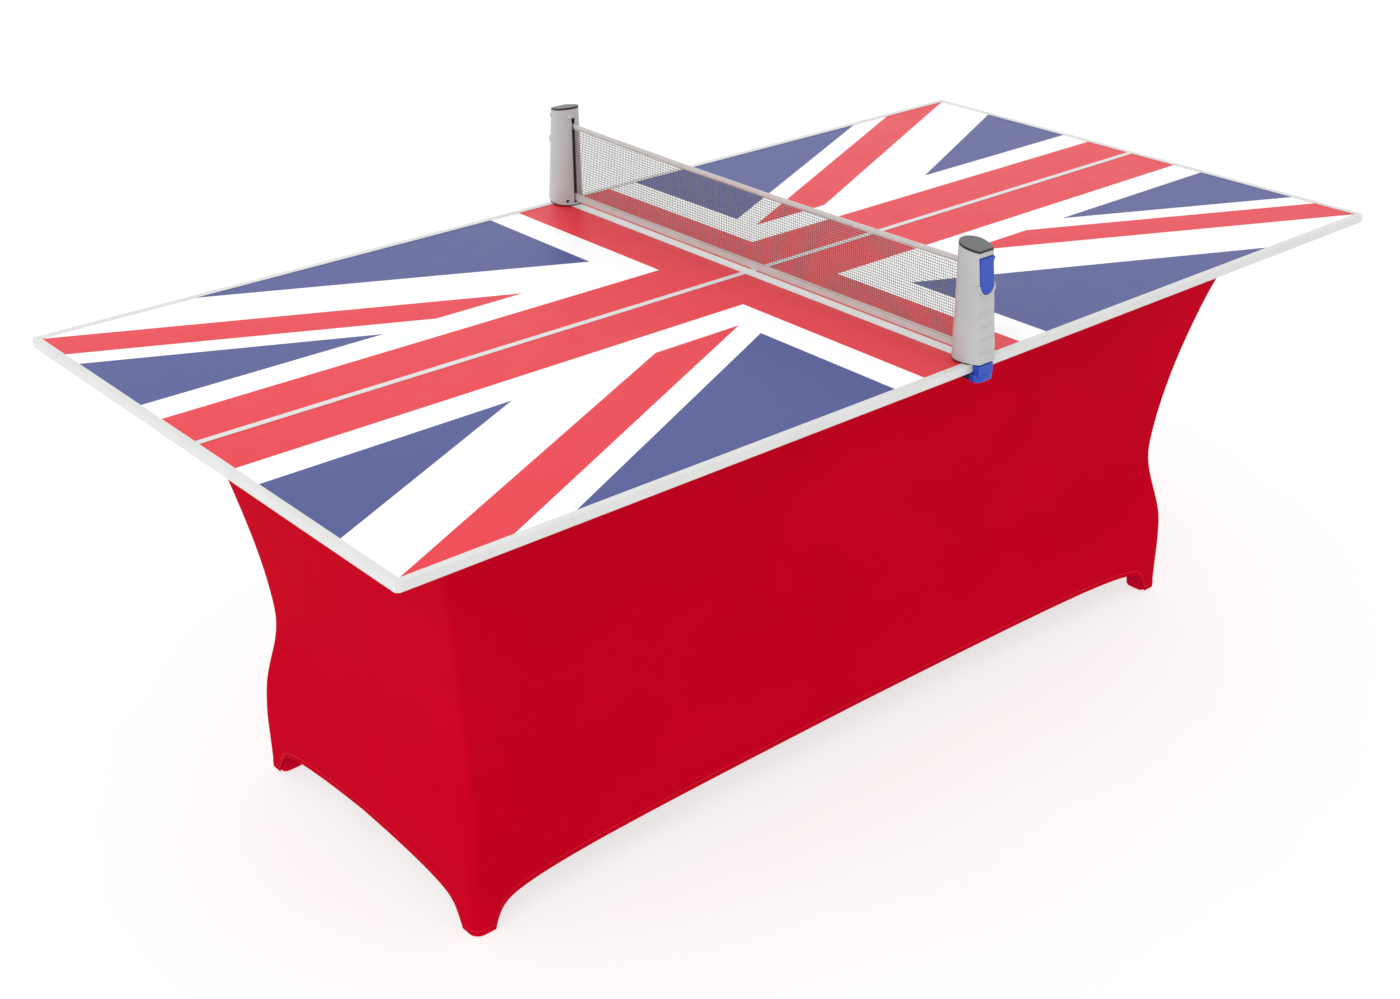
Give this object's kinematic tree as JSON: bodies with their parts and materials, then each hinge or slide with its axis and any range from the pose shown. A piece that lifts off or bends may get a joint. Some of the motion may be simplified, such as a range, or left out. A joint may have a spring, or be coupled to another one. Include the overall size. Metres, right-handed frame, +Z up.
{
  "type": "ping pong table",
  "caption": "Table-tennis top with a clamp-on retractable net, laid on a folding-leg table in a fitted stretch cover.",
  "frame": {"origin": "on the floor, under the middle of the table", "axes": "+X along the length, +Z up, the near long side with the pull-out net post is at -Y"},
  "size_m": [2.048, 1.06, 0.961],
  "materials": {
    "white_print": "satin print on board",
    "trim_plastic": "extruded white plastic",
    "table_plastic": "blow-moulded",
    "painted_steel": "powder coat",
    "zinc_steel": "zinc plated",
    "cover_fabric": "stretch knit",
    "foam": "closed-cell foam",
    "post_plastic": "moulded light grey",
    "cap_plastic": "moulded dark grey",
    "blue_plastic": "moulded blue",
    "black_rubber": "moulded rubber",
    "net_fabric": "woven polyester"
  },
  "bodies": {
    "table": {"table_top": "table_plastic", "side_rails": "painted_steel", "rail_screws": "zinc_steel", "brace_tracks": "painted_steel", "cover_top": "cover_fabric", "cover_near": "cover_fabric", "cover_far": "cover_fabric", "cover_left": "cover_fabric", "cover_right": "cover_fabric"},
    "leg_left": {"leg_left_uprights": "painted_steel", "leg_left_pivot_bar": "painted_steel", "leg_left_brace_bar": "painted_steel", "leg_left_foot_caps": "black_rubber", "cover_pockets_left": "cover_fabric"},
    "brace_left": {"brace_left": "painted_steel"},
    "leg_right": {"leg_right_uprights": "painted_steel", "leg_right_pivot_bar": "painted_steel", "leg_right_brace_bar": "painted_steel", "leg_right_foot_caps": "black_rubber", "cover_pockets_right": "cover_fabric"},
    "brace_right": {"brace_right": "painted_steel"},
    "playing_top": {"panel_left_near": "white_print", "panel_left_far": "white_print", "panel_right_near": "white_print", "panel_right_far": "white_print", "trim_left_near": "trim_plastic", "trim_left_far": "trim_plastic", "trim_left_end": "trim_plastic", "trim_left_middle": "trim_plastic", "trim_right_near": "trim_plastic", "trim_right_far": "trim_plastic", "trim_right_end": "trim_plastic", "trim_right_middle": "trim_plastic", "centre_strip_left": "trim_plastic", "centre_strip_right": "trim_plastic", "joining_dowels": "zinc_steel", "grip_pads": "foam", "post_far_inner_shell": "post_plastic", "post_far_outer_shell": "post_plastic", "post_far_cap": "cap_plastic", "post_far_base_pad": "black_rubber", "post_far_screw_and_pin": "zinc_steel", "net_reel_axle": "zinc_steel", "net_reel_spring": "zinc_steel", "net_mesh": "net_fabric", "net_top_tape": "net_fabric", "net_bottom_tape": "net_fabric"},
    "net_reel": {"net_reel": "cap_plastic"},
    "clamp_far": {"clamp_far_lever": "blue_plastic", "clamp_far_jaw_pad": "black_rubber", "clamp_far_spring": "zinc_steel"},
    "post_near": {"post_near_inner_shell": "post_plastic", "post_near_outer_shell": "post_plastic", "post_near_cap": "cap_plastic", "post_near_base_pad": "black_rubber", "post_near_screw_and_pin": "zinc_steel", "net_anchor_bar": "zinc_steel"},
    "clamp_near": {"clamp_near_lever": "blue_plastic", "clamp_near_jaw_pad": "black_rubber", "clamp_near_spring": "zinc_steel"}
  },
  "joints": [
    {"name": "leg_left_fold", "type": "hinge", "parent": "table", "child": "leg_left", "pos_m": [-0.75, 0, 0.703], "axis": [0, -1, 0], "range_deg": [0, 93.74]},
    {"name": "brace_left_swing", "type": "hinge", "parent": "leg_left", "child": "brace_left", "pos_m": [-0.75784, 0, 0.58326], "axis": [0, -1, 0], "range_deg": [-112.73, 0]},
    {"name": "leg_right_fold", "type": "hinge", "parent": "table", "child": "leg_right", "pos_m": [0.75, 0, 0.703], "axis": [0, 1, 0], "range_deg": [0, 93.74]},
    {"name": "brace_right_swing", "type": "hinge", "parent": "leg_right", "child": "brace_right", "pos_m": [0.75784, 0, 0.58326], "axis": [0, 1, 0], "range_deg": [-112.73, 0]},
    {"name": "playing_top_lift", "type": "slide", "parent": "table", "child": "playing_top", "axis": [0, 0, 1], "range_m": [0, 0.3]},
    {"name": "clamp_far_lever", "type": "hinge", "parent": "playing_top", "child": "clamp_far", "pos_m": [0, 0.515, 0.837], "axis": [1, 0, 0], "range_deg": [0, 6], "stiffness_Nm_per_rad": 2, "springref_deg": -8.59, "deforming": ["clamp_far_spring"]},
    {"name": "post_near_slide", "type": "slide", "parent": "playing_top", "child": "post_near", "axis": [0, -1, 0], "range_m": [0, 0.05], "stiffness_N_per_m": 60, "springref_m": -0.03, "deforming": ["net_mesh", "net_top_tape", "net_bottom_tape"]},
    {"name": "net_reel_spin", "type": "hinge", "parent": "playing_top", "child": "net_reel", "pos_m": [0.009, 0.49, 0.777], "axis": [0, 0, 1], "range_deg": [0, 320.31]},
    {"name": "clamp_near_lever", "type": "hinge", "parent": "post_near", "child": "clamp_near", "pos_m": [0, -0.515, 0.837], "axis": [-1, 0, 0], "range_deg": [0, 6], "stiffness_Nm_per_rad": 2, "springref_deg": -8.59, "deforming": ["clamp_near_spring"]}
  ],
  "couplings": [
    {"joint": "brace_left_swing", "follows": "leg_left_fold", "ratio": -1.1972},
    {"joint": "brace_right_swing", "follows": "leg_right_fold", "ratio": -1.1972},
    {"joint": "net_reel_spin", "follows": "post_near_slide", "rad_per_m": 111.11}
  ]
}
